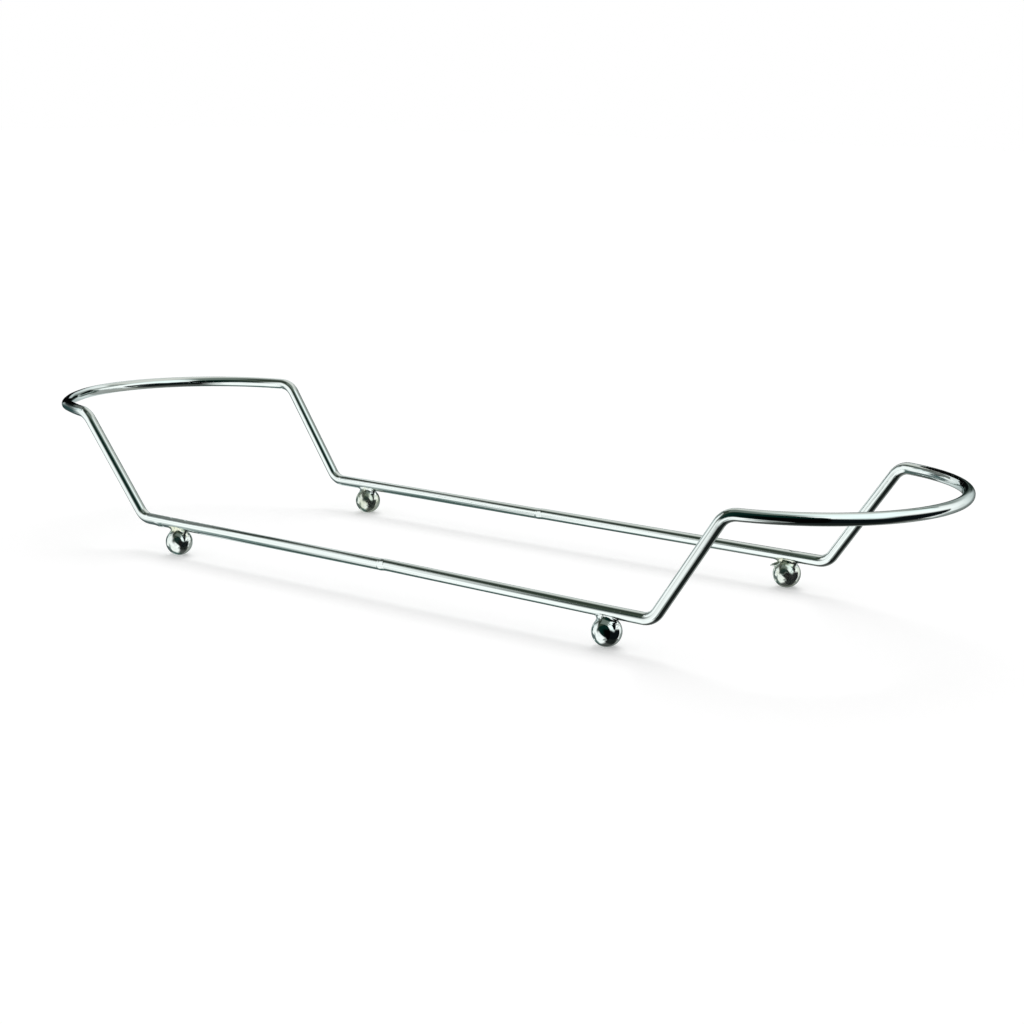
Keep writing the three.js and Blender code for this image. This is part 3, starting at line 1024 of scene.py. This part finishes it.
pale, tree = bare_material("pale_floor")
matt = add_node(tree, "ShaderNodeBsdfDiffuse", "matt floor", {"Color": FLOOR_COLOUR})
lift = times(tree, "lift to white", seen_directly(tree), FLOOR_LIFT)
glow = add_node(tree, "ShaderNodeEmission", "lift", {"Strength": lift})
put_on_surface(tree, add_node(tree, "ShaderNodeAddShader", "floor", {0: matt, 1: glow}))
floor = sheet("floor", Z_AXIS, 0, (-FLOOR_HALF, -FLOOR_HALF), (FLOOR_HALF, FLOOR_HALF), pale)
floor.visible_glossy = False

sun_light = bpy.data.lights.new("broad_sun", "SUN")
sun_light.energy = SUN_LIGHT * math.pi
sun_light.angle = SUN_DISC
sun = show(sun_light, "broad_sun")
sun.rotation_euler = (SUN_BACK, SUN_ASIDE, 0)
sun.visible_glossy = False
print("world, floor and sun are in place")

# %% [markdown]
# Cloths round the stand.
# A mirror has no look of its own. In an all white room chrome would vanish, so a photographer hangs
# grey and black cloths round a metal thing, out of the picture, where only the metal sees them. Here
# the six sides of a box are white walls that only reflections see. Each wall carries a few patches of
# cloth, and every patch is one use of the same node group: a rectangle with soft edges laid over
# whatever is under it. The front and right walls are dark because the camera stands there.

# %% One patch of cloth
tree, given = open_group("cloth_patch", {
    "Across": 0.0, "Up": 0.0, "Middle across": 0.0, "Middle up": 0.0,
    "Half width": 100 * MM, "Half height": 100 * MM, "Turn": 0.0, "Edge": 60 * MM,
    "Under": WHITE, "Cloth": COLOUR,
}, {"Colour": COLOUR})
from_middle = add_node(tree, "ShaderNodeCombineXYZ", "place from the middle", {
    "X": calculate(tree, "SUBTRACT", "how far across", given["Across"], given["Middle across"]),
    "Y": calculate(tree, "SUBTRACT", "how far up", given["Up"], given["Middle up"]),
})
turned_back = add_node(tree, "ShaderNodeVectorRotate", "along the cloth", {
    "Vector": from_middle, "Angle": times(tree, "turn back", given["Turn"], -1.0),
}, rotation_type="Z_AXIS")
on_cloth = add_node(tree, "ShaderNodeSeparateXYZ", "place on the cloth", {0: turned_back}).outputs
half_edge = times(tree, "half of the soft edge", given["Edge"], 0.5)
covers = []
for axis, half in (("X", "Half width"), ("Y", "Half height")):
    distance = calculate(tree, "ABSOLUTE", "distance from the middle", on_cloth[axis])
    inner = calculate(tree, "SUBTRACT", "full cloth to here", given[half], half_edge)
    outer = plus(tree, "no cloth from here", given[half], half_edge)
    covers.append(fade(tree, "soft edge", distance, outer, inner))
cover = times(tree, "cover", *covers)
laid = blend_colours(tree, "lay the cloth over", cover, given["Under"], given["Cloth"])
cloth_patch = close_group(tree, {"Colour": laid})

# %% A wall with its patches
BOX_LOW = Vector((-700 * MM, -400 * MM, -600 * MM))
BOX_HIGH = Vector((700 * MM, 700 * MM, 600 * MM))
# Folds in the walls are painted shade: noise makes each wall's glow weaker or stronger between the two
# strengths below
FOLDS_PER_METRE = 5.0
FOLD_START, FOLD_END = 0.35, 0.55
FOLD_SHADE_LOW, FOLD_SHADE_HIGH = 0.94, 1.08


def panel(name, axis, level, low, high, material):
    """A sheet of cloth that only reflections see."""
    piece = sheet(name, axis, level, low, high, material)
    for kind in ("camera", "diffuse", "transmission", "volume_scatter", "shadow"):
        setattr(piece, f"visible_{kind}", False)


def wall(name, axis, box_corner, patches):
    """The side of the box at one of its corners, with patches of cloth.

    A patch is its middle, half sizes, turn in degrees, soft edge and colour. Lengths are in mm.
    """
    cloth, tree = bare_material(name)
    across, up = other_axes(axis)
    spot = add_node(tree, "ShaderNodeTexCoord", "place in the room").outputs["Object"]
    place = add_node(tree, "ShaderNodeSeparateXYZ", "sides of the room", {0: spot}).outputs
    colour = WHITE
    for title, (middle, half, turn, edge, shade) in patches.items():
        patch = add_node(tree, "ShaderNodeGroup", title, {
            "Across": place[across], "Up": place[up],
            "Middle across": middle[0] * MM, "Middle up": middle[1] * MM,
            "Half width": half[0] * MM, "Half height": half[1] * MM,
            "Turn": math.radians(turn), "Edge": edge * MM,
            "Under": colour, "Cloth": (*shade, 1.0),
        }, node_tree=cloth_patch)
        colour = patch.outputs["Colour"]
    # The walls glow with their own light, and the folds are painted shade in that glow
    folds = noise_at(tree, "folds of the cloth", spot, FOLDS_PER_METRE)["Fac"]
    strength = fade(tree, "darker in the folds", folds, FOLD_START, FOLD_END, FOLD_SHADE_LOW, FOLD_SHADE_HIGH)
    put_on_surface(tree, add_node(tree, "ShaderNodeEmission", "light from the wall", {
        "Color": colour, "Strength": strength,
    }))
    low, high = [(corner[across], corner[up]) for corner in (BOX_LOW, BOX_HIGH)]
    panel(name, axis, box_corner[axis], low, high, cloth)
    print(name, "wall with", len(patches), "patches")


# %% The six walls
wall("left", X_AXIS, BOX_LOW, {
    "dark cloth behind the left legs": ((70, -70), (130, 210), 60, 170, (0.05, 0.1, 0.1)),
    "black cloth high up": ((40, 450), (360, 270), 35, 80, (0.006, 0.01, 0.01)),
    "grey strip below": ((-180, -450), (500, 190), 25, 40, (0.12, 0.15, 0.15)),
    "white towards the camera": ((-190, 300), (70, 190), 25, 200, (1.1, 1.2, 1.2)),
    "grey in the black": ((100, 420), (280, 160), -15, 20, (0.18, 0.19, 0.18)),
})
wall("right", X_AXIS, BOX_HIGH, {
    "black cloth": ((0, -290), (690, 510), -10, 200, (0.003, 0.005, 0.006)),
    "white slanting strip": ((70, 590), (500, 190), 55, 200, (0.92, 1.0, 1.0)),
})
wall("front", Y_AXIS, BOX_LOW, {
    "dark above the camera": ((30, 780), (600, 430), 45, 200, (0.04, 0.055, 0.04)),
    "black cloth": ((280, 250), (370, 310), 50, 50, (0.003, 0.018, 0.014)),
    "black below": ((690, -360), (400, 660), 15, 200, (0.001, 0.001, 0.001)),
    "dark low to the left": ((-640, -470), (70, 390), -30, 200, (0.03, 0.1, 0.09)),
    "grey before the camera": ((-140, 90), (80, 90), 50, 190, (0.04, 0.06, 0.05)),
    "grey by the floor": ((240, -440), (130, 100), -40, 20, (0.27, 0.29, 0.28)),
})
wall("back", Y_AXIS, BOX_HIGH, {
    "grey below": ((0, -490), (430, 520), -35, 200, (0.34, 0.35, 0.34)),
    "dark grey to the left": ((-170, 70), (190, 180), -10, 100, (0.04, 0.06, 0.05)),
    "grey strip higher up": ((-220, 340), (570, 120), 20, 200, (0.3, 0.33, 0.31)),
    "black spot": ((-260, 220), (110, 100), -25, 20, (0.004, 0.006, 0.006)),
})
wall("below", Z_AXIS, BOX_LOW, {
    "olive under the stand": ((50, 380), (740, 510), -30, 200, (0.07, 0.073, 0.07)),
    "grey to the left": ((-820, 60), (440, 430), -40, 60, (0.05, 0.065, 0.055)),
    "pale at the back": ((-100, 760), (400, 400), 20, 140, (0.34, 0.34, 0.32)),
    "black to the right": ((700, -140), (520, 520), 0, 200, (0.011, 0.014, 0.013)),
    "dark strip to the left": ((-600, 80), (360, 170), -25, 200, (0.09, 0.15, 0.14)),
})
wall("above", Z_AXIS, BOX_HIGH, {
    "grey ceiling": ((220, 250), (840, 530), 55, 200, (0.15, 0.18, 0.16)),
    "dark towards the camera": ((-450, -440), (170, 400), -10, 70, (0.03, 0.04, 0.03)),
    "white over the right": ((870, 190), (600, 600), 60, 200, (0.93, 1.0, 1.0)),
    "pale over the left": ((-300, 350), (540, 240), -10, 200, (0.65, 0.64, 0.61)),
    "dark at the left end": ((-940, 30), (380, 350), -25, 200, (0.035, 0.045, 0.035)),
})

# %% Small black cards near the handles
ALMOST_BLACK = (0.003, 0.003, 0.003, 1.0)
# Each card's axis, its level along that axis, and its low and high corners, in mm
CARDS = {
    "card_over_right_handle": (Z_AXIS, 80, (165, 65), (180, 110)),
    "card_behind_right_handle": (Y_AXIS, 130, (90, 62), (135, 100)),
    "card_behind_left_handle": (Y_AXIS, 100, (-375, 62), (-255, 88)),
    "card_beside_left_handle": (X_AXIS, -260, (-40, 57), (10, 92)),
}

black_card, tree = bare_material("black_card")
put_on_surface(tree, add_node(tree, "ShaderNodeEmission", "almost black", {"Color": ALMOST_BLACK}))
for title, (axis, level, low, high) in CARDS.items():
    low, high = [[length * MM for length in corner] for corner in (low, high)]
    panel(title, axis, level * MM, low, high, black_card)
print(len(CARDS), "cards are in place")

# %% [markdown]
# The last step.
# The picture's colours are shown as they are, with the Standard view transform.

# %% Show the colours as they are
bpy.context.scene.view_settings.view_transform = "Standard"
